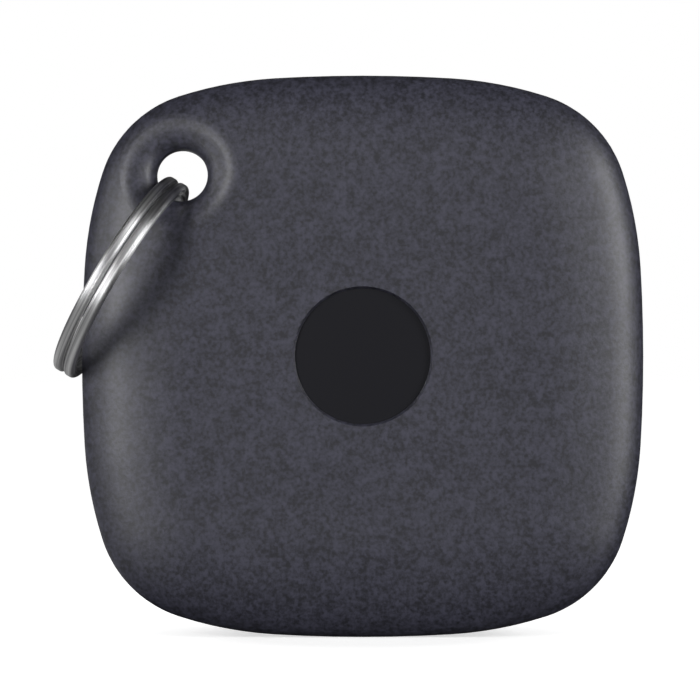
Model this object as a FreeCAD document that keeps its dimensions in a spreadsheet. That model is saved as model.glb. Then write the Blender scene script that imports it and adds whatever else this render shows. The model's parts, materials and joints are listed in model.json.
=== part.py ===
# Passive RFID key fob: two moulded covers, a tuned antenna coil with its chip board,
# and a double-turn split ring that swings in the key hole.
#
# Millimetres. The fob stands in the XZ plane with its front towards -Y and +Z up.
# The origin is the middle of the key hole, on the plane where the covers meet.
import FreeCAD, Part
import Sketcher
import math
import os

V = FreeCAD.Vector

# Every size that can be set by itself, in millimetres or degrees
SIZES = {
    # Outline of both covers: side, blend and corner arcs, tangent all the way round
    "half_width": 19.0,
    "side_arc_radius": 100.0,
    "blend_arc_radius": 26.3,
    "corner_arc_radius": 8.0,
    "side_half_angle": 3.4,
    # Section of one cover, from the seam to its face
    "cover_height": 3.0,
    "shoulder_width": 7.0,
    "edge_land": 0.4,
    "side_wall": 2.0,
    "face_wall": 1.2,
    "cavity_round": 1.0,
    "seam_bevel": 0.12,
    # Lip that locates one cover in the other
    "lip_inset": 0.7,
    "lip_width": 0.6,
    "lip_height": 0.5,
    "lip_side_gap": 0.05,
    "lip_end_gap": 0.1,
    # Key hole and the shallow dish round it
    "key_edge_distance": 4.87,
    "key_hole_diameter": 3.5,
    "key_rim_round": 1.1,
    "dish_radius": 4.0,
    "dish_depth": 1.35,
    "dish_offset": 0.95,
    "dish_rim_round": 2.0,
    "key_boss_wall": 1.9,
    # Polished round recess in the middle of the front
    "badge_diameter": 9.4,
    "badge_depth": 0.3,
    "badge_bevel": 0.15,
    # Flat round land that the back rests on
    "land_gap": 1.2,
    "land_height": 0.15,
    # Antenna coil and what holds it
    "coil_inset": 9.5,
    "coil_build": 1.8,
    "coil_thickness": 1.2,
    "coil_round": 0.35,
    "adhesive_thickness": 0.3,
    "coil_pad_width": 1.4,
    "coil_pad_angle": 40.0,
    "spigot_clearance": 0.1,
    "spigot_wall": 0.8,
    "spigot_height": 1.0,
    "post_diameter": 1.6,
    "post_clearance": 0.05,
    "post_count": 3.0,
    "post_start_angle": 30.0,
    # Chip board
    "board_length": 9.0,
    "board_depth": 5.2,
    "board_thickness": 0.4,
    "board_inset": 5.0,
    "board_pad_length": 7.0,
    "board_pad_depth": 3.6,
    # Copper contacts on the board: a land at each end with two fingers
    "contact_thickness": 0.05,
    "contact_edge": 0.25,
    "contact_width": 2.0,
    "finger_width": 0.5,
    "chip_finger_start": 0.95,
    "capacitor_finger_start": 0.45,
    "chip_drop": 0.8,
    "capacitor_rise": 1.5,
    # Chip, its bond wires and its encapsulant
    "chip_side": 1.0,
    "chip_thickness": 0.25,
    "bond_wire_diameter": 0.05,
    "bond_wire_inset": 0.2,
    "bond_wire_reach": 1.15,
    "bond_wire_peak": 0.14,
    "glob_radius": 1.4,
    "glob_height": 0.65,
    # Tuning capacitor
    "capacitor_length": 1.6,
    "capacitor_width": 0.8,
    "capacitor_height": 0.7,
    "terminal_length": 0.3,
    "terminal_skin": 0.02,
    # Solder and the coil's two leads
    "solder_radius": 0.6,
    "solder_height": 0.4,
    "fillet_length": 0.25,
    "lead_diameter": 0.16,
    "lead_clearance": 0.05,
    "lead_bury": 0.4,
    "lead_drop_gap": 1.3,
    "lead_bend_radius": 1.0,
    "lead_run_in": 0.9,
    # Split ring: one flattened wire in two turns
    "ring_diameter": 15.2,
    "wire_radial": 0.85,
    "wire_axial": 0.56,
    "wire_round": 0.2,
    "turn_gap": 0.45,
    "jog_half_angle": 18.0,
    "jog_place": 75.0,
    "ring_seat_gap": 0.5,
    "ring_rest_gap": 0.15,
    "ring_lean_angle": 4.5,
}

# Places and heights that several pieces share, as expressions of the sheet.
# The middles of the outline's side, blend and corner arcs come first: BLEND_X along the side
# arc's axis and BLEND_Y beside it, and CORNER_MIDDLE, the same both ways
SIDE_X = "(Sizes.half_width - Sizes.side_arc_radius)"
SIDE_TO_BLEND = "(Sizes.side_arc_radius - Sizes.blend_arc_radius)"
BLEND_TO_CORNER = "(Sizes.blend_arc_radius - Sizes.corner_arc_radius)"
BLEND_X = "(" + SIDE_X + " + " + SIDE_TO_BLEND + " * cos(Sizes.side_half_angle))"
BLEND_Y = "(" + SIDE_TO_BLEND + " * sin(Sizes.side_half_angle))"
OFF_DIAGONAL = "((" + BLEND_X + " - " + BLEND_Y + ") / (sqrt(2) * " + BLEND_TO_CORNER + "))"
CORNER_MIDDLE = "(" + BLEND_X + " + " + BLEND_TO_CORNER + " * cos(45 deg + asin(" + OFF_DIAGONAL + ")))"
KEY_OFFSET = "(" + CORNER_MIDDLE + " + (Sizes.corner_arc_radius - Sizes.key_edge_distance) / sqrt(2))"
PAST_FACE = "(Sizes.cover_height + 2 * Sizes.edge_land)"
DISH_PLACE = "(" + KEY_OFFSET + " + Sizes.dish_offset / sqrt(2))"
LAND_RADIUS = "(sqrt(2) * " + DISH_PLACE + " - Sizes.dish_radius - Sizes.land_gap)"
INNER_FACE = "(Sizes.cover_height - Sizes.face_wall)"
COIL_INNER = "(Sizes.half_width - Sizes.coil_inset)"
COIL_OUTER = "(" + COIL_INNER + " + Sizes.coil_build)"
COIL_MIDDLE = "(" + COIL_INNER + " + Sizes.coil_build / 2)"
COIL_BACK = "(" + INNER_FACE + " - Sizes.adhesive_thickness)"
COIL_FRONT = "(" + COIL_BACK + " - Sizes.coil_thickness)"
SPIGOT_OUTER = "(" + COIL_INNER + " - Sizes.spigot_clearance)"
SPIGOT_INNER = "(" + SPIGOT_OUTER + " - Sizes.spigot_wall)"
BOARD_DROP = "(" + SPIGOT_INNER + " - Sizes.board_inset)"
BOARD_FRONT = "(" + COIL_BACK + " - Sizes.board_thickness)"
CONTACT_FRONT = "(" + BOARD_FRONT + " - Sizes.contact_thickness)"
CONTACT_INNER = "(Sizes.board_length / 2 - Sizes.contact_edge - Sizes.contact_width)"
CONTACT_MIDDLE = "(Sizes.board_length / 2 - Sizes.contact_edge - Sizes.contact_width / 2)"
CHIP_LEVEL = "(-" + BOARD_DROP + " - Sizes.chip_drop)"
CAPACITOR_LEVEL = "(-" + BOARD_DROP + " + Sizes.capacitor_rise)"
CONTACT_LOW = "(-" + BOARD_DROP + " - Sizes.board_depth / 2 + Sizes.contact_edge)"
CONTACT_HIGH = "(-" + BOARD_DROP + " + Sizes.board_depth / 2 - Sizes.contact_edge)"
LEAD_END_LEVEL = "(" + CONTACT_LOW + " + Sizes.solder_radius)"

doc = FreeCAD.newDocument("KeyFob")
sheet = doc.addObject("Spreadsheet::Sheet", "Sizes")
for row, (name, value) in enumerate(SIZES.items(), start=1):
    sheet.set("A%d" % row, name)
    sheet.set("B%d" % row, str(value))
    sheet.setAlias("B%d" % row, name)
doc.recompute()


def size(name):
    """A driving size, read from the sheet."""
    return float(sheet.get(name))


def worked_out(expression):
    """The value of one of the shared expressions above, for geometry drawn in code."""
    names = {name: size(name) for name in SIZES}
    value = expression
    for name in sorted(names, key=len, reverse=True):
        value = value.replace("Sizes." + name, repr(names[name]))
    return float(sheet.evalExpression(value))


# Sketches and bodies

def new_body(name):
    body = doc.addObject("PartDesign::Body", name)
    body.Label = name
    body.setExpression("Placement.Base.x", KEY_OFFSET)
    body.setExpression("Placement.Base.z", "-" + KEY_OFFSET)
    return body


def new_sketch(body, name, role, height=None, shift=None):
    """Sketch on an origin plane; height is an expression along the plane's normal."""
    sketch = body.newObject("Sketcher::SketchObject", name)
    origin_plane = next(f for f in body.Origin.OriginFeatures if f.Role == role)
    sketch.AttachmentSupport = [(origin_plane, "")]
    sketch.MapMode = "FlatFace"
    if height:
        sketch.setExpression("AttachmentOffset.Base.z", height)
    if shift:
        sketch.setExpression("AttachmentOffset.Base.x", shift)
    return sketch


def constrain(sketch, rules):
    """Add constraints together; each rule is a constraint and its expression or None."""
    first = sketch.ConstraintCount
    sketch.addConstraint([constraint for constraint, _ in rules])
    for index, (_, expression) in enumerate(rules, start=first):
        if expression:
            sketch.setExpression("Constraints[%d]" % index, expression)


def free(kind, *where):
    """Rule without a size."""
    return Sketcher.Constraint(kind, *where), None


def radius_rule(geometry, expression):
    return Sketcher.Constraint("Radius", geometry, worked_out(expression)), expression


def hold(kind, axis, geometry, point, expression):
    """Rule that keeps a point at a distance from the sketch's origin along one axis."""
    value = worked_out(expression)
    if abs(value) < 1e-9:
        return free("PointOnObject", geometry, point, axis)
    if value > 0:
        return Sketcher.Constraint(kind, -1, 1, geometry, point, value), expression
    constraint = Sketcher.Constraint(kind, geometry, point, -1, 1, -value)
    return constraint, "-(" + expression + ")"


def hold_x(geometry, point, expression):
    return hold("DistanceX", -2, geometry, point, expression)


def hold_y(geometry, point, expression):
    return hold("DistanceY", -1, geometry, point, expression)


def place(geometry, point, x, y):
    return [hold_x(geometry, point, x), hold_y(geometry, point, y)]


def outline_arcs(step):
    """Centres, radii and end angles (radians) of the arcs, drawn in by step."""
    side = size("side_arc_radius")
    blend = size("blend_arc_radius")
    corner = size("corner_arc_radius")
    side_turn = math.radians(size("side_half_angle"))
    side_centre = V(worked_out(SIDE_X), 0, 0)
    blend_centre = V(worked_out(BLEND_X), worked_out(BLEND_Y), 0)
    corner_centre = V(worked_out(CORNER_MIDDLE), worked_out(CORNER_MIDDLE), 0)
    corner_way = corner_centre - blend_centre
    blend_turn = math.atan2(corner_way.y, corner_way.x)
    mirrored = V(blend_centre.y, blend_centre.x, 0)
    arcs = []
    for quarter in range(4):
        turn = FreeCAD.Rotation(V(0, 0, 1), 90 * quarter)
        start = quarter * math.pi / 2
        end = start + math.pi / 2
        arcs.append((turn.multVec(side_centre), side - step, start - side_turn, start + side_turn))
        arcs.append((turn.multVec(blend_centre), blend - step, start + side_turn, start + blend_turn))
        arcs.append((turn.multVec(corner_centre), corner - step, start + blend_turn, end - blend_turn))
        arcs.append((turn.multVec(mirrored), blend - step, end - blend_turn, end - side_turn))
    return arcs


def draw_outline(sketch, inset="0"):
    """Closed outline of sixteen tangent arcs, drawn in from the fob's edge by inset."""
    arcs = outline_arcs(worked_out(inset))
    first = sketch.GeometryCount
    for centre, radius, start, end in arcs:
        circle = Part.Circle(centre, V(0, 0, 1), radius)
        sketch.addGeometry(Part.ArcOfCircle(circle, start, end), False)
    count = len(arcs)
    rules = []
    for arc in range(count):
        rules.append(free("Tangent", first + arc, 2, first + (arc + 1) % count, 1))
    for arc in range(4, count, 4):
        rules.append(free("Equal", first, first + arc))
        rules.append(free("Equal", first + 2, first + 2 + arc))
    for arc in range(3, count, 2):
        rules.append(free("Equal", first + 1, first + arc))
    for arc, name in ((0, "side"), (1, "blend"), (2, "corner")):
        rules.append(radius_rule(first + arc, "Sizes." + name + "_arc_radius - " + inset))
    sides = ((SIDE_X, "0"), ("0", SIDE_X), ("-" + SIDE_X, "0"), ("0", "-" + SIDE_X))
    for quarter, (x, y) in enumerate(sides):
        side = first + 4 * quarter
        rules += place(side, 3, x, y)
        across = hold_y if x != "0" else hold_x
        signs = (1, -1) if quarter in (0, 3) else (-1, 1)
        for blend, sign in ((side + 1, signs[0]), (first + (4 * quarter - 1) % count, signs[1])):
            rules.append(across(blend, 3, BLEND_Y if sign > 0 else "-" + BLEND_Y))
    constrain(sketch, rules)


def draw_circle(sketch, radius, x="0", y="0"):
    circle = Part.Circle(V(worked_out(x), worked_out(y), 0), V(0, 0, 1), worked_out(radius))
    index = sketch.addGeometry(circle, False)
    constrain(sketch, [radius_rule(index, radius)] + place(index, 3, x, y))


def draw_chain(sketch, corners, closed=False):
    """Straight lines through corners, each a pair of expressions; returns the first line."""
    points = [V(worked_out(x), worked_out(y), 0) for x, y in corners]
    first = sketch.GeometryCount
    count = len(points) if closed else len(points) - 1
    for index in range(count):
        following = points[(index + 1) % len(points)]
        sketch.addGeometry(Part.LineSegment(points[index], following), False)
    rules = []
    for index in range(count):
        rules += place(first + index, 1, *corners[index])
    for index in range(count if closed else count - 1):
        rules.append(free("Coincident", first + index, 2, first + (index + 1) % count, 1))
    if not closed:
        rules += place(first + count - 1, 2, *corners[-1])
    constrain(sketch, rules)
    return first


def add_pad(body, name, sketch, length, reverse=False):
    pad = body.newObject("PartDesign::Pad", name)
    pad.Profile = sketch
    pad.setExpression("Length", length)
    pad.Reversed = reverse
    doc.recompute()
    return pad


def add_pocket(body, name, sketch, length, reverse=False):
    """Pocket that has to take material away."""
    before = body.Shape.Volume
    pocket = body.newObject("PartDesign::Pocket", name)
    pocket.Profile = sketch
    pocket.setExpression("Length", length)
    pocket.Reversed = reverse
    doc.recompute()
    if not body.Shape.Volume < before:
        raise RuntimeError(name + " cuts nothing")
    return pocket


def add_groove(body, name, sketch):
    """Full turn about the sketch's own vertical axis that has to take material away."""
    before = body.Shape.Volume
    groove = body.newObject("PartDesign::Groove", name)
    groove.Profile = sketch
    groove.ReferenceAxis = (sketch, ["V_Axis"])
    groove.Angle = 360
    doc.recompute()
    if not body.Shape.Volume < before:
        raise RuntimeError(name + " cuts nothing")
    return groove


def add_fillet(body, name, base, edges, radius):
    """Fillet that has to take material away."""
    before = body.Shape.Volume
    fillet = body.newObject("PartDesign::Fillet", name)
    fillet.Base = (base, edges)
    fillet.setExpression("Radius", radius)
    doc.recompute()
    if not body.Shape.Volume < before:
        raise RuntimeError(name + " rounds nothing")
    return fillet


def edges_where(shape, test):
    return ["Edge%d" % (i + 1) for i, edge in enumerate(shape.Edges) if test(edge)]


def edge_middle(edge):
    return edge.valueAt((edge.FirstParameter + edge.LastParameter) / 2)


# Covers. Both are drawn from the seam outwards; facing is -1 for the front, 1 for the back

def cut_shoulder(body, facing):
    """Round the cover's edge with a quarter ellipse swept along the outline."""
    path = new_sketch(body, body.Name + "_shoulder_path", "XZ_Plane")
    draw_outline(path)
    profile = new_sketch(body, body.Name + "_shoulder_profile", "XY_Plane")
    edge = size("half_width")
    land = size("edge_land")
    face = size("cover_height")
    width = size("shoulder_width")
    centre = V(edge - width, facing * land, 0)
    ellipse = Part.Ellipse(centre, width, face - land)
    start, end = (1.5 * math.pi, 2 * math.pi) if facing < 0 else (0, 0.5 * math.pi)
    curve = profile.addGeometry(Part.ArcOfEllipse(ellipse, start, end), False)
    profile.exposeInternalGeometry(curve)
    sign = "" if facing > 0 else "-"
    past_edge = "Sizes.half_width + 2 * Sizes.edge_land"
    corners = [
        ("Sizes.half_width", sign + "Sizes.edge_land"),
        (past_edge, sign + "Sizes.edge_land"),
        (past_edge, sign + PAST_FACE),
        ("Sizes.half_width - Sizes.shoulder_width", sign + PAST_FACE),
        ("Sizes.half_width - Sizes.shoulder_width", sign + "Sizes.cover_height"),
    ]
    first = draw_chain(profile, corners)
    side_end, face_end = (2, 1) if facing < 0 else (1, 2)
    constrain(profile, [
        free("Coincident", curve, side_end, first, 1),
        free("Coincident", curve, face_end, first + 3, 2),
    ] + place(curve, 3, corners[4][0], corners[0][1]))
    before = body.Shape.Volume
    pipe = body.newObject("PartDesign::SubtractivePipe", body.Name + "_shoulder")
    pipe.Profile = profile
    pipe.Spine = (path, [])
    doc.recompute()
    if not body.Shape.Volume < before:
        raise RuntimeError("the shoulder cuts nothing")


def cut_dish(body, facing):
    """Shallow spherical dish round the key hole, set a little towards the corner."""
    sign = "" if facing > 0 else "-"
    dish = new_sketch(body, body.Name + "_dish_profile", "XY_Plane",
                      height=DISH_PLACE, shift="-" + DISH_PLACE)
    depth = size("dish_depth")
    reach = size("dish_radius")
    ball = (reach ** 2 + depth ** 2) / (2 * depth)
    floor = facing * (size("cover_height") - depth)
    swing = math.asin(reach / ball)
    centre = V(0, floor + facing * ball, 0)
    lowest = -facing * math.pi / 2
    start, end = sorted((lowest, lowest + facing * swing))
    arc = dish.addGeometry(Part.ArcOfCircle(Part.Circle(centre, V(0, 0, 1), ball), start, end), False)
    corners = [
        ("Sizes.dish_radius", sign + "Sizes.cover_height"),
        ("Sizes.dish_radius", sign + PAST_FACE),
        ("0", sign + PAST_FACE),
        ("0", sign + "(Sizes.cover_height - Sizes.dish_depth)"),
    ]
    first = draw_chain(dish, corners)
    rim_end, floor_end = (1, 2) if facing < 0 else (2, 1)
    constrain(dish, [
        free("Coincident", arc, rim_end, first, 1),
        free("Coincident", arc, floor_end, first + 2, 2),
        radius_rule(arc, "(Sizes.dish_radius ^ 2 + Sizes.dish_depth ^ 2) / (2 * Sizes.dish_depth)"),
    ])
    add_groove(body, body.Name + "_dish", dish)

    def is_dish_rim(edge):
        faces = body_shape.ancestorsOfType(edge, Part.Face)
        balls = [isinstance(face.Surface, Part.Sphere) for face in faces]
        return balls.count(True) == 1

    base = body.Tip
    body_shape = base.Shape
    add_fillet(body, body.Name + "_dish_rim", base, edges_where(body_shape, is_dish_rim),
               "Sizes.dish_rim_round")


def cut_key_hole(body, facing):
    """Hole for the split ring, with a rounded rim where it meets the dish."""
    hole = new_sketch(body, body.Name + "_hole_circle", "XZ_Plane")
    draw_circle(hole, "Sizes.key_hole_diameter / 2", "-" + KEY_OFFSET, KEY_OFFSET)
    add_pocket(body, body.Name + "_hole", hole, "Sizes.cover_height", reverse=facing < 0)
    radius = size("key_hole_diameter") / 2
    base = body.Tip
    body_shape = base.Shape

    def is_rim(edge):
        surfaces = [face.Surface for face in body_shape.ancestorsOfType(edge, Part.Face)]
        walls = [s for s in surfaces if isinstance(s, Part.Cylinder) and abs(s.Radius - radius) < 1e-4]
        balls = [s for s in surfaces if isinstance(s, Part.Sphere)]
        return len(walls) == 1 and len(balls) == 1

    add_fillet(body, body.Name + "_hole_rim", base, edges_where(body_shape, is_rim),
               "Sizes.key_rim_round")


def make_cover(name, facing):
    """Cover block with its cavity, the boss round the key hole and the outer rounding."""
    body = new_body(name)
    inward = facing > 0
    outline = new_sketch(body, name + "_outline", "XZ_Plane")
    draw_outline(outline)
    add_pad(body, name + "_block", outline, "Sizes.cover_height", reverse=inward)
    cavity = new_sketch(body, name + "_cavity_outline", "XZ_Plane")
    draw_outline(cavity, "Sizes.side_wall")
    add_pocket(body, name + "_cavity", cavity, INNER_FACE, reverse=not inward)
    floor = facing * worked_out(INNER_FACE)

    def is_cavity_corner(edge):
        return all(abs(vertex.Y - floor) < 1e-6 for vertex in edge.Vertexes)

    base = body.Tip
    corners = edges_where(base.Shape, is_cavity_corner)
    rounding = body.newObject("PartDesign::Fillet", name + "_cavity_round")
    rounding.Base = (base, corners)
    rounding.setExpression("Radius", "Sizes.cavity_round")
    doc.recompute()
    boss = new_sketch(body, name + "_boss_circle", "XZ_Plane")
    draw_circle(boss, "Sizes.key_hole_diameter / 2 + Sizes.key_boss_wall",
                "-" + KEY_OFFSET, KEY_OFFSET)
    add_pad(body, name + "_boss", boss, "Sizes.cover_height", reverse=inward)
    return body


def bevel_seam(body):
    """Small bevel round the outer edge at the seam."""
    edge_distance = size("half_width")

    def is_seam_edge(edge):
        middle = edge_middle(edge)
        on_seam = all(abs(vertex.Y) < 1e-6 for vertex in edge.Vertexes) and abs(middle.y) < 1e-6
        radius = getattr(edge.Curve, "Radius", 0)
        outer = any(abs(radius - size(name + "_arc_radius")) < 1e-4
                    for name in ("side", "blend", "corner"))
        return on_seam and outer and middle.Length > edge_distance - 1e-3

    base = body.Tip
    chamfer = body.newObject("PartDesign::Chamfer", body.Name + "_seam_bevel")
    chamfer.Base = (base, edges_where(base.Shape, is_seam_edge))
    chamfer.setExpression("Size", "Sizes.seam_bevel")
    before = body.Shape.Volume
    doc.recompute()
    if not body.Shape.Volume < before:
        raise RuntimeError("the seam isn't bevelled")


def make_front_cover():
    body = make_cover("front_cover", -1)
    cut_shoulder(body, -1)
    cut_dish(body, -1)
    cut_key_hole(body, -1)
    bevel_seam(body)
    badge = new_sketch(body, "badge_profile", "XY_Plane")
    draw_chain(badge, [
        ("0", "-Sizes.cover_height + Sizes.badge_depth"),
        ("Sizes.badge_diameter / 2 - Sizes.badge_bevel",
         "-Sizes.cover_height + Sizes.badge_depth"),
        ("Sizes.badge_diameter / 2", "-Sizes.cover_height"),
        ("0", "-Sizes.cover_height"),
    ], closed=True)
    add_groove(body, "badge_recess", badge)
    lip = new_sketch(body, "lip_outline", "XZ_Plane")
    draw_outline(lip, "Sizes.lip_inset")
    draw_outline(lip, "(Sizes.lip_inset + Sizes.lip_width)")
    add_pad(body, "lip", lip, "Sizes.lip_height", reverse=True)
    posts = new_sketch(body, "post_circle", "XZ_Plane", height=INNER_FACE)
    angle = "Sizes.post_start_angle"
    draw_circle(posts, "Sizes.post_diameter / 2", COIL_MIDDLE + " * cos(" + angle + ")",
                COIL_MIDDLE + " * sin(" + angle + ")")
    add_pad(body, "post", posts,
            INNER_FACE + " + " + COIL_FRONT + " - Sizes.post_clearance", reverse=True)
    post = body.Tip
    pattern = body.newObject("PartDesign::PolarPattern", "posts")
    pattern.Originals = [post]
    pattern.Axis = (posts, ["N_Axis"])
    pattern.Angle = 360
    pattern.setExpression("Occurrences", "Sizes.post_count")
    body.Tip = pattern
    doc.recompute()
    return body


def make_rear_cover():
    body = make_cover("rear_cover", 1)
    cut_shoulder(body, 1)
    cut_dish(body, 1)
    cut_key_hole(body, 1)
    bevel_seam(body)
    land = new_sketch(body, "land_circle", "XZ_Plane",
                      height="-(Sizes.cover_height - Sizes.land_height)")
    draw_circle(land, LAND_RADIUS)
    add_pad(body, "rest_land", land, "2 * Sizes.land_height", reverse=True)
    groove = new_sketch(body, "lip_groove_outline", "XZ_Plane")
    draw_outline(groove, "(Sizes.lip_inset - Sizes.lip_side_gap)")
    draw_outline(groove, "(Sizes.lip_inset + Sizes.lip_width + Sizes.lip_side_gap)")
    add_pocket(body, "lip_groove", groove, "Sizes.lip_height + Sizes.lip_end_gap")
    spigot = new_sketch(body, "spigot_circles", "XZ_Plane", height="-" + INNER_FACE)
    draw_circle(spigot, SPIGOT_OUTER)
    draw_circle(spigot, SPIGOT_INNER)
    add_pad(body, "coil_spigot", spigot, "Sizes.spigot_height")
    return body


# Electronics, in the rear cover

def seat(item, x, y, z):
    """Place a primitive by expressions measured from the fob's middle at the seam."""
    item.setExpression("Placement.Base.x", KEY_OFFSET + " + " + x)
    item.setExpression("Placement.Base.y", y)
    item.setExpression("Placement.Base.z", "-" + KEY_OFFSET + " + " + z)


def make_box(name, length, depth, height, x, y, z):
    """Box centred on x and z, reaching back from y."""
    box = doc.addObject("Part::Box", name)
    box.Label = name
    box.setExpression("Length", length)
    box.setExpression("Width", depth)
    box.setExpression("Height", height)
    seat(box, x + " - (" + length + ") / 2", y, z + " - (" + height + ") / 2")
    return box


def make_dome(name, radius, height, x, base, z):
    """Spherical cap on the plane y = base, bulging towards the front."""
    dome = doc.addObject("Part::Sphere", name)
    ball = "((" + radius + ") ^ 2 + (" + height + ") ^ 2) / (2 * (" + height + "))"
    dome.setExpression("Radius", ball)
    dome.setExpression("Angle1", "asin(1 - (" + height + ") / (" + ball + "))")
    dome.Placement.Rotation = FreeCAD.Rotation(V(1, 0, 0), 90)
    seat(dome, x, base + " + " + ball + " - (" + height + ")", z)
    return dome


def make_coil_body():
    """The wound ring of the antenna coil, a rounded section turned about Y."""
    body = new_body("coil_winding")
    profile = new_sketch(body, "coil_section", "XY_Plane")
    draw_chain(profile, [(COIL_INNER, COIL_FRONT), (COIL_OUTER, COIL_FRONT),
                         (COIL_OUTER, COIL_BACK), (COIL_INNER, COIL_BACK)], closed=True)
    ring = body.newObject("PartDesign::Revolution", "coil_ring")
    ring.Profile = profile
    ring.ReferenceAxis = (profile, ["V_Axis"])
    ring.Angle = 360
    doc.recompute()
    rounding = body.newObject("PartDesign::Fillet", "coil_rounding")
    rounding.Base = (ring, edges_where(ring.Shape, lambda e: isinstance(e.Curve, Part.Circle)))
    rounding.setExpression("Radius", "Sizes.coil_round")
    doc.recompute()
    return body


def rounded_path(points, bend_radius):
    """Straight runs joined by tangent arcs."""
    edges = []
    start = points[0]
    for before, corner, after in zip(points, points[1:], points[2:]):
        back = (before - corner).normalize()
        ahead = (after - corner).normalize()
        half = back.getAngle(ahead) / 2
        trim = bend_radius / math.tan(half)
        centre = corner + (back + ahead).normalize() * (bend_radius / math.sin(half))
        first = corner + back * trim
        last = corner + ahead * trim
        middle = centre + (corner - centre).normalize() * bend_radius
        edges.append(Part.makeLine(start, first))
        edges.append(Part.Arc(first, middle, last).toShape())
        start = last
    edges.append(Part.makeLine(start, points[-1]))
    return Part.Wire(edges)


def tube_along(wire, diameter):
    edge = wire.Edges[0]
    direction = edge.tangentAt(edge.FirstParameter)
    circle = Part.Circle(edge.valueAt(edge.FirstParameter), direction, diameter / 2)
    shell = Part.BRepOffsetAPI.MakePipeShell(wire)
    shell.add(Part.Wire([circle.toShape()]))
    shell.build()
    shell.makeSolid()
    return shell.shape()


def fob_placement():
    offset = worked_out(KEY_OFFSET)
    return FreeCAD.Placement(V(offset, 0, -offset), FreeCAD.Rotation())


def make_lead(name, side):
    """One end of the coil's wire, over the spigot and down to its contact."""
    radius = size("lead_diameter") / 2
    x = side * worked_out(CONTACT_MIDDLE)
    over_spigot = worked_out(INNER_FACE) - size("spigot_height") - size("lead_clearance") - radius
    on_contact = worked_out(CONTACT_FRONT) - radius
    end = worked_out(LEAD_END_LEVEL)
    points = [
        V(x, over_spigot, -worked_out(COIL_INNER) - size("lead_bury")),
        V(x, over_spigot, -worked_out(SPIGOT_INNER) + size("lead_drop_gap")),
        V(x, on_contact, end - size("lead_run_in")),
        V(x, on_contact, end),
    ]
    lead = doc.addObject("Part::Feature", name)
    lead.Shape = tube_along(rounded_path(points, size("lead_bend_radius")), 2 * radius)
    lead.Placement = fob_placement()
    return lead


def fuse(name, items):
    joined = doc.addObject("Part::MultiFuse", name)
    joined.Label = name
    joined.Shapes = items
    return joined


def group(name, items):
    together = doc.addObject("Part::Compound", name)
    together.Label = name
    together.Links = items
    return together


def cut(name, base, tool):
    left = doc.addObject("Part::Cut", name)
    left.Label = name
    left.Base = base
    left.Tool = tool
    return left


def make_coil_pads():
    """Three arcs of adhesive foam under the coil."""
    body = new_body("coil_adhesive_pads")
    body.AllowCompound = True
    profile = new_sketch(body, "coil_pad_section", "XY_Plane")
    inner = COIL_MIDDLE + " - Sizes.coil_pad_width / 2"
    outer = COIL_MIDDLE + " + Sizes.coil_pad_width / 2"
    draw_chain(profile, [(inner, COIL_BACK), (outer, COIL_BACK), (outer, INNER_FACE),
                         (inner, INNER_FACE)], closed=True)
    arc = body.newObject("PartDesign::Revolution", "coil_pad")
    arc.Profile = profile
    arc.ReferenceAxis = (profile, ["V_Axis"])
    arc.setExpression("Angle", "Sizes.coil_pad_angle")
    doc.recompute()
    pattern = body.newObject("PartDesign::PolarPattern", "coil_pad_pattern")
    pattern.Originals = [arc]
    pattern.Axis = (profile, ["V_Axis"])
    pattern.Angle = 360
    pattern.setExpression("Occurrences", "Sizes.post_count")
    body.Tip = pattern
    doc.recompute()
    return body


def make_contacts():
    """Two copper contacts, mirror images, each with a chip finger and a capacitor finger."""
    body = new_body("contact_pads")
    body.AllowCompound = True
    sketch = new_sketch(body, "contact_outline", "XZ_Plane", height="-" + BOARD_FRONT)
    inner = CONTACT_INNER
    outer = "(Sizes.board_length / 2 - Sizes.contact_edge)"
    half_finger = "Sizes.finger_width / 2"
    chip = "Sizes.chip_finger_start"
    capacitor = "Sizes.capacitor_finger_start"
    half_end = "Sizes.capacitor_width / 2"
    draw_chain(sketch, [
        (inner, CONTACT_LOW), (outer, CONTACT_LOW), (outer, CONTACT_HIGH), (inner, CONTACT_HIGH),
        (inner, CAPACITOR_LEVEL + " + " + half_end),
        (capacitor, CAPACITOR_LEVEL + " + " + half_end),
        (capacitor, CAPACITOR_LEVEL + " - " + half_end),
        (inner, CAPACITOR_LEVEL + " - " + half_end),
        (inner, CHIP_LEVEL + " + " + half_finger),
        (chip, CHIP_LEVEL + " + " + half_finger),
        (chip, CHIP_LEVEL + " - " + half_finger),
        (inner, CHIP_LEVEL + " - " + half_finger),
    ], closed=True)
    contact = add_pad(body, "contact", sketch, "Sizes.contact_thickness")
    mirror = body.newObject("PartDesign::Mirrored", "contact_pair")
    mirror.Originals = [contact]
    mirror.MirrorPlane = (sketch, ["V_Axis"])
    body.Tip = mirror
    doc.recompute()
    return body


def make_bond_wires(chip, contacts):
    """Two looped wires from the chip's face to its contact fingers."""
    top = worked_out(BOARD_FRONT) - size("chip_thickness")
    foot = worked_out(CONTACT_FRONT)
    level = worked_out(CHIP_LEVEL)
    start = size("chip_side") / 2 - size("bond_wire_inset")
    end = size("bond_wire_reach")
    peak = top - size("bond_wire_peak")
    wires = []
    for side in (-1, 1):
        arc = Part.Arc(V(side * start, top, level), V(side * (start + end) / 2, peak, level),
                       V(side * end, foot, level))
        tube = tube_along(Part.Wire([arc.toShape()]), size("bond_wire_diameter"))
        tube.Placement = fob_placement()
        wires.append(tube.cut(chip.Shape).cut(contacts.Shape))
    feature = doc.addObject("Part::Feature", "bond_wires")
    feature.Label = "bond_wires"
    feature.Shape = Part.makeCompound([solid for wire in wires for solid in wire.Solids])
    return feature


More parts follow.
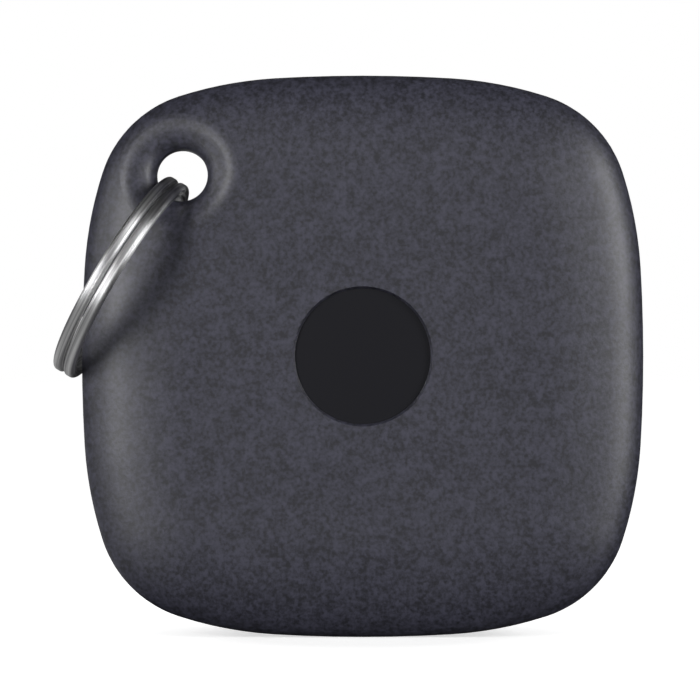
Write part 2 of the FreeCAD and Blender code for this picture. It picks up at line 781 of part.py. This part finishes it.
def make_capacitor():
    """Ceramic block with a tinned cap on each end, standing on the capacitor fingers."""
    front = CONTACT_FRONT + " - Sizes.capacitor_height"
    skin = "Sizes.terminal_skin"
    block = make_box("tuning_capacitor", "Sizes.capacitor_length - 2 * Sizes.terminal_length",
                     "Sizes.capacitor_height - 2 * " + skin,
                     "Sizes.capacitor_width - 2 * " + skin,
                     "0", front + " + " + skin, CAPACITOR_LEVEL)
    ends = []
    for side, sign in (("left", "-"), ("right", "")):
        middle = sign + "(Sizes.capacitor_length - Sizes.terminal_length) / 2"
        ends.append(make_box("terminal_" + side, "Sizes.terminal_length",
                             "Sizes.capacitor_height", "Sizes.capacitor_width",
                             middle, front, CAPACITOR_LEVEL))
    return [block, group("capacitor_terminals", ends)]


def make_solder(leads):
    """A dome over each lead's end and a fillet at each end of the capacitor."""
    items = []
    for side, lead in zip(("left", "right"), leads):
        sign = "-" if side == "left" else ""
        dome = make_dome("solder_dome_" + side, "Sizes.solder_radius", "Sizes.solder_height",
                         sign + CONTACT_MIDDLE, CONTACT_FRONT, LEAD_END_LEVEL)
        items.append(cut("solder_joint_" + side, dome, lead))
        wedge = doc.addObject("Part::Wedge", "solder_fillet_" + side)
        wedge.Xmin = 0
        wedge.Ymin = 0
        wedge.Zmin = 0
        wedge.X2min = 0
        wedge.Z2min = 0
        wedge.X2max = 0
        wedge.setExpression("Xmax", "Sizes.fillet_length")
        wedge.setExpression("Ymax", "Sizes.fillet_length")
        wedge.setExpression("Zmax", "Sizes.capacitor_width")
        wedge.setExpression("Z2max", "Sizes.capacitor_width")
        turn = FreeCAD.Rotation(V(1, 0, 0), 180)
        if side == "left":
            turn = FreeCAD.Rotation(V(0, 0, 1), 180)
        wedge.Placement.Rotation = turn
        across = " + Sizes.capacitor_width / 2"
        if side == "left":
            across = " - Sizes.capacitor_width / 2"
        seat(wedge, sign + "Sizes.capacitor_length / 2", CONTACT_FRONT, CAPACITOR_LEVEL + across)
        items.append(wedge)
    return group("solder_joints", items)


# Split ring, in its own frame: X towards its far end, Z along its axis

def biarc(start, start_way, end, end_way):
    """Two tangent arcs between two points with given directions."""
    gap = end - start
    both = start_way + end_way
    spread = 4 - both.dot(both)
    along = gap.dot(both)
    reach = (-along + math.sqrt(along ** 2 + spread * gap.dot(gap))) / spread
    first = start + start_way * reach
    second = end - end_way * reach
    joint = (first + second) / 2
    arcs = []
    for tail, control, head in ((start, first, joint), (joint, second, end)):
        weight = (head - tail).Length / reach
        middle = (tail + control * weight + head) / (2 + weight)
        arcs.append(Part.Arc(tail, middle, head))
    return arcs


def ring_arcs():
    """The wire's middle line: a flat turn, the step across, and the second flat turn."""
    radius = (size("ring_diameter") - size("wire_radial")) / 2
    level = (size("wire_axial") + size("turn_gap")) / 2
    half_jog = size("jog_half_angle")
    place = size("jog_place")

    def at(angle, z):
        return V(radius * math.cos(math.radians(angle)), radius * math.sin(math.radians(angle)), z)

    def way(angle):
        return V(-math.sin(math.radians(angle)), math.cos(math.radians(angle)), 0)

    arcs = []
    quarter = (360 - 2 * half_jog) / 4
    for z in (-level, level):
        for step in range(4):
            angle = place + half_jog + step * quarter
            arcs.append(Part.Arc(at(angle, z), at(angle + quarter / 2, z), at(angle + quarter, z)))
        if z < 0:
            leave = place - half_jog
            reach = place + half_jog
            arcs += biarc(at(leave, -level), way(leave), at(reach, level), way(reach))
    return arcs


def wire_section(tilt):
    """Rounded rectangle of the flattened wire, in X (radial) and Z (axial) about its middle."""
    half_x = size("wire_radial") / 2
    half_z = size("wire_axial") / 2
    corner = size("wire_round")
    sharp = corner * (1 - math.sqrt(0.5))
    corners = []
    for quarter in range(4):
        sign_x = (1, -1, -1, 1)[quarter]
        sign_z = (1, 1, -1, -1)[quarter]
        on_side = V(sign_x * half_x, 0, sign_z * (half_z - corner))
        on_face = V(sign_x * (half_x - corner), 0, sign_z * half_z)
        middle = V(sign_x * (half_x - sharp), 0, sign_z * (half_z - sharp))
        first, last = (on_side, on_face) if quarter % 2 == 0 else (on_face, on_side)
        corners.append((first, middle, last))
    turned = FreeCAD.Rotation(V(0, 1, 0), tilt)
    outline = []
    for index, (first, middle, last) in enumerate(corners):
        following = corners[(index + 1) % 4][0]
        outline.append(Part.Arc(turned.multVec(first), turned.multVec(middle),
                                turned.multVec(last)).toShape())
        outline.append(Part.makeLine(turned.multVec(last), turned.multVec(following)))
    return Part.Wire(outline)


def least_gap(arcs, section):
    """Least distance between the two turns, on points carried along the wire."""
    stride = 6.0
    points = section.discretize(24)
    rows = []
    travelled = 0.0
    for arc in arcs:
        circle = Part.Circle(arc.StartPoint, arc.value((arc.FirstParameter + arc.LastParameter) / 2),
                             arc.EndPoint)
        sweep = arc.length() / circle.Radius
        count = max(1, int(math.degrees(sweep) / stride))
        centre = circle.Center
        for step in range(count):
            angle = math.degrees(sweep) * step / count
            turn = FreeCAD.Rotation(circle.Axis, angle)
            moved = [centre + turn.multVec(point - centre) for point in points]
            rows.append((travelled + arc.length() * step / count, moved))
        turn = FreeCAD.Rotation(circle.Axis, math.degrees(sweep))
        points = [centre + turn.multVec(point - centre) for point in points]
        travelled += arc.length()
    rows.append((travelled, points))
    half_turn = math.pi * size("ring_diameter") / 2
    best = None
    for index, (here, near) in enumerate(rows):
        for there, far in rows[index + 1:]:
            if there - here < half_turn / 2:
                continue
            for a in near:
                for b in far:
                    distance = (a - b).Length
                    if best is None or distance < best:
                        best = distance
    return best


def make_split_ring():
    arcs = ring_arcs()
    radius = (size("ring_diameter") - size("wire_radial")) / 2
    tilt = math.degrees((size("wire_axial") + size("turn_gap")) / radius) / 2
    start = arcs[0].StartPoint
    angle = math.degrees(math.atan2(start.y, start.x))
    section = wire_section(tilt)
    section.Placement = FreeCAD.Placement(start, FreeCAD.Rotation(V(0, 0, 1), angle))
    path = Part.Wire([arc.toShape() for arc in arcs])
    shell = Part.BRepOffsetAPI.MakePipeShell(path)
    shell.add(section)
    shell.build()
    shell.makeSolid()
    solid = shell.shape()
    print("split ring: least gap to itself %.3f mm" % least_gap(arcs, section))
    print("split ring: tightest arc %.2f mm" % min(edge.Curve.Radius for edge in path.Edges))
    print("split ring: volume %.3f, section times length %.3f"
          % (solid.Volume, Part.Face(section).Area * path.Length))
    inner_radius = size("ring_diameter") / 2 - size("wire_radial")
    distance = size("key_hole_diameter") / 2 - size("ring_seat_gap") + inner_radius
    reach = distance + inner_radius
    half_stack = size("wire_axial") + size("turn_gap") / 2
    beside_case = size("half_width") - worked_out(KEY_OFFSET) + size("ring_rest_gap")
    hang = math.acos(beside_case / math.hypot(reach, half_stack)) - math.atan2(half_stack, reach)
    outward = V(-math.cos(hang), 0, -math.sin(hang))
    across = V(math.sin(hang), 0, -math.cos(hang))
    lean = math.radians(size("ring_lean_angle"))
    through = V(0, 1, 0) * math.cos(lean) + across * math.sin(lean)
    axis = outward.cross(through)
    print("split ring: hangs at %.3f degrees, middle %.4f mm from the hole's axis"
          % (math.degrees(hang), distance))
    print("key hole: %.4f mm beside and above the fob's middle" % worked_out(KEY_OFFSET))
    feature = doc.addObject("Part::Feature", "split_ring")
    feature.Label = "split_ring"
    feature.Shape = solid
    turned = FreeCAD.Rotation(outward, through, axis, "ZXY")
    feature.Placement = FreeCAD.Placement(outward * distance, turned)
    return feature


def make_electronics():
    coil = make_coil_body()
    leads = [make_lead("lead_left", -1), make_lead("lead_right", 1)]
    antenna = fuse("antenna_coil", [coil] + leads)
    level = "-" + BOARD_DROP
    board = make_box("chip_board", "Sizes.board_length", "Sizes.board_thickness",
                     "Sizes.board_depth", "0", BOARD_FRONT, level)
    board_pad = make_box("board_adhesive_pad", "Sizes.board_pad_length",
                         "Sizes.adhesive_thickness", "Sizes.board_pad_depth", "0", COIL_BACK, level)
    contacts = make_contacts()
    chip = make_box("tag_chip", "Sizes.chip_side", "Sizes.chip_thickness", "Sizes.chip_side",
                    "0", BOARD_FRONT + " - Sizes.chip_thickness", CHIP_LEVEL)
    doc.recompute()
    bonds = make_bond_wires(chip, contacts)
    glob = make_dome("glob", "Sizes.glob_radius", "Sizes.glob_height", "0", BOARD_FRONT, CHIP_LEVEL)
    core = group("glob_core", [contacts, chip, bonds])
    encapsulant = cut("chip_encapsulant", glob, core)
    capacitor = make_capacitor()
    solder = make_solder(leads)
    return [antenna, make_coil_pads(), board, board_pad, contacts, chip, bonds, encapsulant,
            solder] + capacitor


parts = [make_front_cover(), make_rear_cover()] + make_electronics() + [make_split_ring()]
doc.recompute()

for item in doc.Objects:
    if "Invalid" in item.State or "Error" in item.State:
        raise RuntimeError("%s didn't recompute: %s" % (item.Label, item.State))
os.makedirs("parts", exist_ok=True)
for item in parts:
    shape = item.Shape
    if shape.isNull() or not shape.isValid():
        raise RuntimeError("%s has no valid shape" % item.Label)
for item in parts:
    item.Shape.exportStep("parts/%s.step" % item.Label)
    print("%-22s %2d solids %10.4f mm3" % (item.Label, len(item.Shape.Solids), item.Shape.Volume))
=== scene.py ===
"""Dressed view of the key fob: textured covers, polished recess, plated split ring."""
import json
import math

import bmesh
import bpy
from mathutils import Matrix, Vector


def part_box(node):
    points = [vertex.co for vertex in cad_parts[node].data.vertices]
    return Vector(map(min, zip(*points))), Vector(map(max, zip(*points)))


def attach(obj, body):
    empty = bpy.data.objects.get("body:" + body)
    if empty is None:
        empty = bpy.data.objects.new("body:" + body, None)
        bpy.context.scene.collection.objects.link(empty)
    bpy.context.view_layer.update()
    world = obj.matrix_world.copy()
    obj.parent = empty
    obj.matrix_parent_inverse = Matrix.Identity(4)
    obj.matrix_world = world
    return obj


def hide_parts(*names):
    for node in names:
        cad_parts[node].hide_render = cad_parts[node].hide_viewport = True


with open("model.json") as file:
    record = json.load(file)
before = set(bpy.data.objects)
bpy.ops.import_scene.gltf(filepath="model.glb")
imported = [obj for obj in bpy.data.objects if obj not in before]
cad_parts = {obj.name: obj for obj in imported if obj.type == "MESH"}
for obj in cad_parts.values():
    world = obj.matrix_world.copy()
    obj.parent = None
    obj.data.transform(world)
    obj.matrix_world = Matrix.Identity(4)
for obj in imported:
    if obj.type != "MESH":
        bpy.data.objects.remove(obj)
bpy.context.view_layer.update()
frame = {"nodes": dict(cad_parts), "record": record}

MM = 0.001

# The fob's middle at the seam, from the mount on its back
REAR_MOUNT = next(m for m in frame["record"]["mounts"] if m["name"] == "rear_face")
FOB_MIDDLE = Vector((REAR_MOUNT["pos_m"][0], 0.0, REAR_MOUNT["pos_m"][2]))
LOWEST = min(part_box("front_cover")[0][2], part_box("rear_cover")[0][2])

# Camera: the photograph's frame is 700 px wide and shows the fob square on
FRAME_PX = 700
PX_PER_MM = 14.75
FOB_PX = (362.6, 356.3)
CAMERA_DISTANCE = 260 * MM
CLIP_START = 10 * MM
SENSOR = 36.0

# Split ring: its wire lies turn on turn, and the step across is given in degrees round it
RING_MOUNT = next(m for m in frame["record"]["mounts"] if m["name"] == "split_ring_loop")
RING_OPENING = RING_MOUNT["dims"]["r_mm"] * MM
WIRE_RADIAL = 0.85 * MM
WIRE_AXIAL = 0.75 * MM
TURN_PITCH = 0.82 * MM
WIRE_CROWN = 0.05 * MM
WIRE_CORNER = 0.24 * MM
JOG_PLACE = 75.0
JOG_HALF_ANGLE = 18.0
RING_STEPS = 456
END_BEVEL = 0.03 * MM

# Wire finish: drawn lines are a noise that is stretched along the wire
LINE_STRETCH = 0.02
LINE_SCALE = 5000.0
LINE_DEPTH = 0.00004
WIRE_DARK = (0.38, 0.38, 0.39)
WIRE_LIGHT = (0.88, 0.88, 0.88)
WIRE_ROUGHNESS = (0.42, 0.48)
WIRE_ANISOTROPY = 0.85

# Recess in the front: its radius, and where its polish is full and ends
RECESS_RADIUS = 4.7 * MM
POLISH_FULL = RECESS_RADIUS - 0.16 * MM
POLISH_END = RECESS_RADIUS - 0.12 * MM
FRONT_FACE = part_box("front_cover")[0][1]

# Cover finish: two sizes of grain in features per metre, and the share of the coarse one
FINE_GRAIN = 3600
COARSE_GRAIN = 1500
COARSE_SHARE = 0.4
GRAIN_DEPTH = 0.00006
GRAIN_DARK = (0.012, 0.012, 0.018)
GRAIN_LIGHT = (0.044, 0.044, 0.066)
COVER_ROUGHNESS = (0.52, 0.58)
RECESS_TINT = (0.009, 0.009, 0.012, 1.0)
RECESS_ROUGHNESS = 0.22

# Soft boxes: degrees right of and above the view's axis, size in mm and power in watts
LAMP_DISTANCE = 350 * MM
LAMPS = [
    ("key_left", -41, 10, (80, 220), 0.80),
    ("edge_left", -72, 12, (110, 110), 0.13),
    ("front_right", 25, 10, (110, 110), 0.13),
    ("key_right", 59, 10, (110, 240), 0.95),
]
# Lamps behind the fob, for views from there; they light only the rear cover
BACK_LAMPS = [
    ("back_left", -128, 12, (110, 230), 0.85),
    ("back_right", 128, 12, (110, 230), 0.85),
    ("back_middle", 180, 25, (150, 150), 0.25),
]
AMBIENT = 0.05

# Floor: its paper as the camera and as all else sees it, and its own light to the camera,
# near the fob and away from it, and in the ring, where it fades in towards the left
FLOOR_HALF = 2.0
PAPER_SEEN = (0.8, 0.8, 0.8)
PAPER_UNSEEN = (0.05, 0.05, 0.05)
# Less glow near the fob: this paints a faint shade on the floor round the fob's foot, besides letting
# its real shadow show
FLOOR_GLOW_NEAR_PAINTED_SHADE = 0.60
FLOOR_GLOW_FAR = 0.97
GLOW_FROM = 8 * MM
GLOW_TO = 20 * MM
FLOOR_SHINE = 0.35
SHINE_FROM = -4 * MM
SHINE_TO = -12 * MM
# Backdrop in the ring: how far back and how far left a direction has to point
BACKDROP_BACK = (0.93, 0.99)
BACKDROP_LEFT = (0.02, -0.05)


def principled(name):
    """New material, with its node tree and Principled shader."""
    material = bpy.data.materials.new(name)
    material.use_nodes = True
    tree = material.node_tree
    shader = tree.nodes["Principled BSDF"]
    return material, tree, shader


def add_node(tree, kind, **settings):
    """New node; each setting is an input's value or else a property."""
    node = tree.nodes.new(kind)
    for key, value in settings.items():
        if key in node.inputs:
            node.inputs[key].default_value = value
        else:
            setattr(node, key, value)
    return node


def noise(tree, scale, detail=2.0, roughness=0.5):
    """Noise texture in object space; scale is in features per metre."""
    place = add_node(tree, "ShaderNodeTexCoord")
    texture = add_node(tree, "ShaderNodeTexNoise", Scale=scale, Detail=detail)
    texture.inputs["Roughness"].default_value = roughness
    tree.links.new(place.outputs["Object"], texture.inputs["Vector"])
    return texture.outputs["Fac"]


def ramp(tree, source, low, high, first, last):
    """Value from first to last as source goes from low to high."""
    node = add_node(tree, "ShaderNodeMapRange")
    node.inputs["From Min"].default_value = low
    node.inputs["From Max"].default_value = high
    node.inputs["To Min"].default_value = first
    node.inputs["To Max"].default_value = last
    tree.links.new(source, node.inputs["Value"])
    return node.outputs["Result"]


def spread(tree, source, half, first, last):
    """Value from first to last over the middle of a noise, as far as half each way."""
    return ramp(tree, source, 0.5 - half, 0.5 + half, first, last)


def along(tree, place, axis, low, high, first=0.0, last=1.0):
    """Value from first to last as place goes from low to high along one axis."""
    split = add_node(tree, "ShaderNodeSeparateXYZ")
    tree.links.new(place, split.inputs[0])
    return ramp(tree, split.outputs[axis], low, high, first, last)


def combined(tree, operation, first, last):
    """What a sum, product or the like of two values gives."""
    node = add_node(tree, "ShaderNodeMath", operation=operation)
    tree.links.new(first, node.inputs[0])
    tree.links.new(last, node.inputs[1])
    return node.outputs[0]


def blend(tree, first, last, share):
    """Value between two others; share is how much of the last one it takes."""
    node = add_node(tree, "ShaderNodeMix", data_type="FLOAT")
    node.inputs["Factor"].default_value = share
    tree.links.new(first, node.inputs["A"])
    tree.links.new(last, node.inputs["B"])
    return node.outputs["Result"]


def mix_colour(tree, factor, first, last):
    """Colour from first to last as factor goes from 0 to 1."""
    node = add_node(tree, "ShaderNodeMix", data_type="RGBA")
    node.inputs["A"].default_value = first + (1.0,)
    node.inputs["B"].default_value = last + (1.0,)
    tree.links.new(factor, node.inputs["Factor"])
    return node.outputs["Result"]


def bump(tree, height, strength, distance):
    """Normal of a surface raised by height, which goes from 0 to 1 over the distance."""
    node = add_node(tree, "ShaderNodeBump", Strength=strength, Distance=distance)
    tree.links.new(height, node.inputs["Height"])
    return node.outputs["Normal"]


def recess_mask(tree):
    """1 on the floor of the round recess in the front, 0 elsewhere."""
    place = add_node(tree, "ShaderNodeTexCoord")
    aside = add_node(tree, "ShaderNodeVectorMath", operation="SUBTRACT")
    aside.inputs[1].default_value = FOB_MIDDLE
    tree.links.new(place.outputs["Object"], aside.inputs[0])
    flat = add_node(tree, "ShaderNodeVectorMath", operation="MULTIPLY")
    flat.inputs[1].default_value = (1.0, 0.0, 1.0)
    tree.links.new(aside.outputs["Vector"], flat.inputs[0])
    reach = add_node(tree, "ShaderNodeVectorMath", operation="LENGTH")
    tree.links.new(flat.outputs["Vector"], reach.inputs[0])
    inside = ramp(tree, reach.outputs["Value"], POLISH_FULL, POLISH_END, 1.0, 0.0)
    split = add_node(tree, "ShaderNodeSeparateXYZ")
    tree.links.new(place.outputs["Object"], split.inputs[0])
    front = add_node(tree, "ShaderNodeMath", operation="LESS_THAN")
    front.inputs[1].default_value = FRONT_FACE / 2
    tree.links.new(split.outputs["Y"], front.inputs[0])
    return combined(tree, "MULTIPLY", inside, front.outputs[0])


def but_in_recess(tree, recess, kind, elsewhere, inside):
    """The cover's value or colour, with another one in the recess."""
    node = add_node(tree, "ShaderNodeMix", data_type=kind)
    node.inputs["B"].default_value = inside
    tree.links.new(recess, node.inputs["Factor"])
    tree.links.new(elsewhere, node.inputs["A"])
    return node.outputs["Result"]


def cover_plastic():
    """Dark blue-grey plastic with a spark-eroded grain; the recess is polished."""
    material, tree, shader = principled("case_plastic")
    fine = noise(tree, FINE_GRAIN, 2.0, 0.6)
    coarse = noise(tree, COARSE_GRAIN, 2.0, 0.6)
    grain = blend(tree, fine, coarse, COARSE_SHARE)
    cloud = noise(tree, 260, 3.0)
    recess = recess_mask(tree)
    speckle = mix_colour(tree, spread(tree, grain, 0.12, 0.0, 1.0), GRAIN_DARK, GRAIN_LIGHT)
    tint = but_in_recess(tree, recess, "RGBA", speckle, RECESS_TINT)
    tree.links.new(tint, shader.inputs["Base Color"])
    rough = spread(tree, cloud, 0.15, *COVER_ROUGHNESS)
    gloss = but_in_recess(tree, recess, "FLOAT", rough, RECESS_ROUGHNESS)
    tree.links.new(gloss, shader.inputs["Roughness"])
    depth = but_in_recess(tree, recess, "FLOAT", grain, 0.5)
    tree.links.new(bump(tree, depth, 0.45, GRAIN_DEPTH), shader.inputs["Normal"])
    shader.inputs["Coat Weight"].default_value = 0.3
    shader.inputs["Coat Roughness"].default_value = 0.35
    return material


def drawn_lines(tree):
    """Fine lines along the wire, from the place in it that every point carries."""
    place = add_node(tree, "ShaderNodeAttribute", attribute_name="wire_place")
    texture = add_node(tree, "ShaderNodeTexNoise", Scale=LINE_SCALE, Detail=2.0)
    tree.links.new(place.outputs["Vector"], texture.inputs["Vector"])
    return texture.outputs["Fac"]


def plated_steel():
    """Bright nickel plate over drawn spring-steel wire."""
    material, tree, shader = principled("plated_steel")
    shader.inputs["Metallic"].default_value = 1.0
    lines = drawn_lines(tree)
    tint = mix_colour(tree, spread(tree, lines, 0.12, 0.0, 1.0), WIRE_DARK, WIRE_LIGHT)
    tree.links.new(tint, shader.inputs["Base Color"])
    cloud = noise(tree, 900, 3.0)
    tree.links.new(spread(tree, cloud, 0.2, *WIRE_ROUGHNESS), shader.inputs["Roughness"])
    tree.links.new(bump(tree, lines, 0.35, LINE_DEPTH), shader.inputs["Normal"])
    shader.inputs["Anisotropic"].default_value = WIRE_ANISOTROPY
    across = add_node(tree, "ShaderNodeTangent", direction_type="UV_MAP", uv_map="across_wire")
    tree.links.new(across.outputs["Tangent"], shader.inputs["Tangent"])
    return material


def plain(name, colour, roughness, metallic=0.0, scale=1500):
    """Inner pieces: a colour that varies a little, with a fine bump."""
    material, tree, shader = principled(name)
    shader.inputs["Metallic"].default_value = metallic
    speckle = noise(tree, scale, 3.0)
    darker = tuple(0.8 * c for c in colour)
    tint = mix_colour(tree, spread(tree, speckle, 0.15, 0.0, 1.0), darker, colour)
    tree.links.new(tint, shader.inputs["Base Color"])
    gloss = spread(tree, speckle, 0.2, roughness, roughness + 0.1)
    tree.links.new(gloss, shader.inputs["Roughness"])
    tree.links.new(bump(tree, speckle, 0.2, 0.00003), shader.inputs["Normal"])
    return material


def wire_section(points_per_corner=5):
    """Flattened wire in (outward, along the ring's axis): crowned outside, rounded corners."""
    half_out = WIRE_RADIAL / 2 - WIRE_CORNER
    half_along = WIRE_AXIAL / 2 - WIRE_CORNER
    section = []
    for quarter in range(4):
        out_sign = (1, -1, -1, 1)[quarter]
        along_sign = (1, 1, -1, -1)[quarter]
        for step in range(points_per_corner + 1):
            turn = math.radians(90 * (quarter + step / points_per_corner))
            out = out_sign * half_out + WIRE_CORNER * math.cos(turn)
            along = along_sign * half_along + WIRE_CORNER * math.sin(turn)
            crown = WIRE_CROWN * (2 * along / WIRE_AXIAL) ** 2
            section.append((out - math.copysign(crown, out), along))
    return section


def turn_level(angle):
    """Height of the wire's middle along the ring's axis; the step across is smooth."""
    start = JOG_PLACE + 360 - JOG_HALF_ANGLE
    along = min(1.0, max(0.0, (angle - start) / (2 * JOG_HALF_ANGLE)))
    return TURN_PITCH * (along * along * (3 - 2 * along) - 0.5)


def make_split_ring():
    """Two touching turns of flattened spring wire, round the CAD ring's own middle."""
    middle = Vector(RING_MOUNT["pos_m"])
    axis = Vector(RING_MOUNT["axis"]).normalized()
    outward = middle.normalized()
    through = axis.cross(outward)
    radius = RING_OPENING + WIRE_RADIAL / 2
    first = JOG_PLACE + JOG_HALF_ANGLE
    last = JOG_PLACE - JOG_HALF_ANGLE + 720
    section = wire_section()
    mesh = bmesh.new()
    wire_place = mesh.verts.layers.float_vector.new("wire_place")
    rows = []
    for step in range(RING_STEPS + 1):
        angle = first + (last - first) * step / RING_STEPS
        turn = math.radians(angle)
        spoke = outward * math.cos(turn) + through * math.sin(turn)
        centre = middle + spoke * radius + axis * turn_level(angle)
        row = [mesh.verts.new(centre + spoke * out + axis * along) for out, along in section]
        for vertex, (out, along) in zip(row, section):
            vertex[wire_place] = (out, along, radius * turn * LINE_STRETCH)
        rows.append(row)
    across_wire = mesh.loops.layers.uv.new("across_wire")
    count = len(section)
    for step, (row, following) in enumerate(zip(rows, rows[1:])):
        for side in range(count):
            beside = (side + 1) % count
            face = mesh.faces.new((row[side], row[beside], following[beside], following[side]))
            corners = ((side, step), (side + 1, step), (side + 1, step + 1), (side, step + 1))
            for loop, (round_wire, along_wire) in zip(face.loops, corners):
                loop[across_wire].uv = (round_wire / count, along_wire / RING_STEPS)
    ends = [mesh.faces.new(rows[0]), mesh.faces.new(list(reversed(rows[-1])))]
    for face in mesh.faces:
        face.smooth = face not in ends
    bmesh.ops.recalc_face_normals(mesh, faces=mesh.faces)
    data = bpy.data.meshes.new("sprung_wire")
    mesh.to_mesh(data)
    mesh.free()
    ring = bpy.data.objects.new("sprung_wire", data)
    bpy.context.scene.collection.objects.link(ring)
    data.materials.append(plated_steel())
    edges = ring.modifiers.new("cut_ends", "BEVEL")
    edges.width = END_BEVEL
    edges.segments = 2
    edges.limit_method = "ANGLE"
    edges.angle_limit = math.radians(60)
    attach(ring, "split_ring")
    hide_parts("split_ring")


def dress():
    """Give every node its material."""
    covers = cover_plastic()
    solder = plain("solder", (0.55, 0.56, 0.57), 0.3, 1.0)
    foam = plain("foam_tape", (0.6, 0.6, 0.56), 0.9)
    gold = plain("gold_plate", (0.83, 0.6, 0.25), 0.25, 1.0)
    looks = {
        "front_cover": covers,
        "rear_cover": covers,
        "antenna_coil": plain("enamelled_copper", (0.5, 0.17, 0.06), 0.3, 0.6),
        "coil_adhesive_pads": foam,
        "board_adhesive_pad": foam,
        "chip_board": plain("board_laminate", (0.02, 0.12, 0.05), 0.4),
        "contact_pads": gold,
        "bond_wires": gold,
        "tag_chip": plain("silicon", (0.08, 0.08, 0.1), 0.15),
        "chip_encapsulant": plain("epoxy", (0.012, 0.012, 0.012), 0.2),
        "solder_joints": solder,
        "capacitor_terminals": solder,
        "tuning_capacitor": plain("ceramic", (0.36, 0.24, 0.13), 0.5),
    }
    for node, material in looks.items():
        piece = frame["nodes"][node]
        piece.data.materials.clear()
        piece.data.materials.append(material)


def seen_directly(tree):
    """1 for rays from the camera, also through something clear."""
    path = add_node(tree, "ShaderNodeLightPath")
    return combined(tree, "MAXIMUM", path.outputs["Is Camera Ray"], path.outputs["Is Transmission Ray"])


def seen_in_metal(tree, share):
    """The share of the backdrop that reflections show."""
    path = add_node(tree, "ShaderNodeLightPath")
    return combined(tree, "MULTIPLY", path.outputs["Is Glossy Ray"], share)


def add_floor():
    """Pale floor just under the fob; white to the camera, and it keeps the shadow; its lower glow near
    the fob also paints a faint shade there.
    """
    mesh = bpy.data.meshes.new("floor")
    signs = ((-1, -1), (1, -1), (1, 1), (-1, 1))
    corners = [(x * FLOOR_HALF, y * FLOOR_HALF, LOWEST) for x, y in signs]
    mesh.from_pydata(corners, [], [(0, 1, 2, 3)])
    floor = bpy.data.objects.new("floor", mesh)
    bpy.context.scene.collection.objects.link(floor)
    material, tree, shader = principled("floor_paper")
    place = add_node(tree, "ShaderNodeTexCoord").outputs["Object"]
    direct = seen_directly(tree)
    paper = mix_colour(tree, direct, PAPER_UNSEEN, PAPER_SEEN)
    tree.links.new(paper, shader.inputs["Base Color"])
    shader.inputs["Roughness"].default_value = 0.9
    shader.inputs["Specular IOR Level"].default_value = 0.0
    away = add_node(tree, "ShaderNodeVectorMath", operation="DISTANCE")
    tree.links.new(place, away.inputs[0])
    away.inputs[1].default_value = (FOB_MIDDLE.x, FOB_MIDDLE.y, LOWEST)
    # Glow is lower near the fob, a painted shade round its foot as well as room for its real shadow
    level = ramp(tree, away.outputs["Value"], GLOW_FROM, GLOW_TO, FLOOR_GLOW_NEAR_PAINTED_SHADE, FLOOR_GLOW_FAR)
    glow = combined(tree, "MULTIPLY", direct, level)
    shine = seen_in_metal(tree, along(tree, place, "X", SHINE_FROM, SHINE_TO, 0.0, FLOOR_SHINE))
    shader.inputs["Emission Color"].default_value = (1.0, 1.0, 1.0, 1.0)
    tree.links.new(combined(tree, "MAXIMUM", glow, shine), shader.inputs["Emission Strength"])
    mesh.materials.append(material)
    return floor


def add_world():
    """White backdrop, to the camera and in metal that faces it; dim in front of the fob."""
    world = bpy.data.worlds.new("studio")
    bpy.context.scene.world = world
    world.use_nodes = True
    tree = world.node_tree
    background = tree.nodes["Background"]
    way = add_node(tree, "ShaderNodeTexCoord").outputs["Generated"]
    back = along(tree, way, "Y", *BACKDROP_BACK)
    left = along(tree, way, "X", *BACKDROP_LEFT)
    behind = combined(tree, "MULTIPLY", back, left)
    seen = combined(tree, "MAXIMUM", seen_directly(tree), seen_in_metal(tree, behind))
    strength = add_node(tree, "ShaderNodeMath", operation="MAXIMUM")
    strength.inputs[1].default_value = AMBIENT
    tree.links.new(seen, strength.inputs[0])
    tree.links.new(strength.outputs[0], background.inputs["Strength"])
    background.inputs["Color"].default_value = (1.0, 1.0, 1.0, 1.0)


def look_at(item, target):
    """Turn a lamp to face a point."""
    item.rotation_euler = (target - item.location).to_track_quat("-Z", "Y").to_euler()


def add_lamps(floor):
    """Soft boxes round the fob; they reach below the floor, which doesn't block them."""
    clear = bpy.data.collections.new("floor_lets_through")
    clear.objects.link(floor)
    clear.collection_objects[0].light_linking.link_state = "EXCLUDE"
    rear = bpy.data.collections.new("lit_from_behind")
    rear.objects.link(frame["nodes"]["rear_cover"])
    rows = [row + (None,) for row in LAMPS] + [row + (rear,) for row in BACK_LAMPS]
    for name, aside, above, size, power, receivers in rows:
        lamp = bpy.data.lights.new(name, "AREA")
        lamp.shape = "RECTANGLE"
        lamp.size = size[0] * MM
        lamp.size_y = size[1] * MM
        lamp.energy = power
        lamp.cycles.use_multiple_importance_sampling = False
        item = bpy.data.objects.new(name, lamp)
        across, up = math.radians(aside), math.radians(above)
        way = Vector((math.sin(across) * math.cos(up), -math.cos(across) * math.cos(up), math.sin(up)))
        item.location = FOB_MIDDLE + way * LAMP_DISTANCE
        bpy.context.scene.collection.objects.link(item)
        look_at(item, FOB_MIDDLE)
        item.light_linking.blocker_collection = clear
        item.light_linking.receiver_collection = receivers


def add_camera():
    """Square on to the front, with the fob where the photograph has it."""
    camera = bpy.data.cameras.new("camera")
    camera.sensor_width = SENSOR
    camera.lens = SENSOR * CAMERA_DISTANCE / (FRAME_PX / PX_PER_MM * MM)
    camera.clip_start = CLIP_START
    item = bpy.data.objects.new("camera", camera)
    aside = (FRAME_PX / 2 - FOB_PX[0]) / PX_PER_MM * MM
    above = (FOB_PX[1] - FRAME_PX / 2) / PX_PER_MM * MM
    item.location = FOB_MIDDLE + Vector((aside, -CAMERA_DISTANCE, above))
    item.rotation_euler = (math.pi / 2, 0.0, 0.0)
    bpy.context.scene.collection.objects.link(item)
    bpy.context.scene.camera = item


dress()
make_split_ring()
floor = add_floor()
add_world()
add_lamps(floor)
add_camera()
bpy.context.scene.view_settings.view_transform = "Standard"
